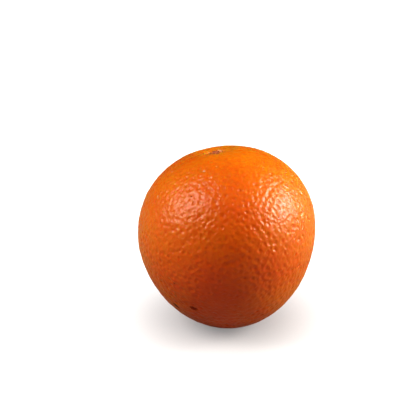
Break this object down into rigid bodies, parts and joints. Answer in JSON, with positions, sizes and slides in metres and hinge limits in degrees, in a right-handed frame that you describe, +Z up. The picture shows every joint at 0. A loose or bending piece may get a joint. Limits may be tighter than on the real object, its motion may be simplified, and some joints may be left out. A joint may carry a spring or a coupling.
{
  "type": "orange",
  "caption": "Whole fresh sweet orange with a pitted peel and a dry calyx in the shallow hollow at its stem end.",
  "frame": {"origin": "below the middle of the fruit, at the level of the flat spot it rests on", "axes": "+Z up, with the stem end up; the stem axis leans 12.8 degrees towards +Y and 8.2 degrees towards -X; -Y is the side that is seen"},
  "size_m": [0.076, 0.0754, 0.0779],
  "materials": {
    "peel": "waxy pitted citrus peel, half gloss",
    "calyx": "dry, matt, woody"
  },
  "bodies": {
    "root": {"fruit": "peel", "calyx": "calyx"}
  },
  "joints": []
}
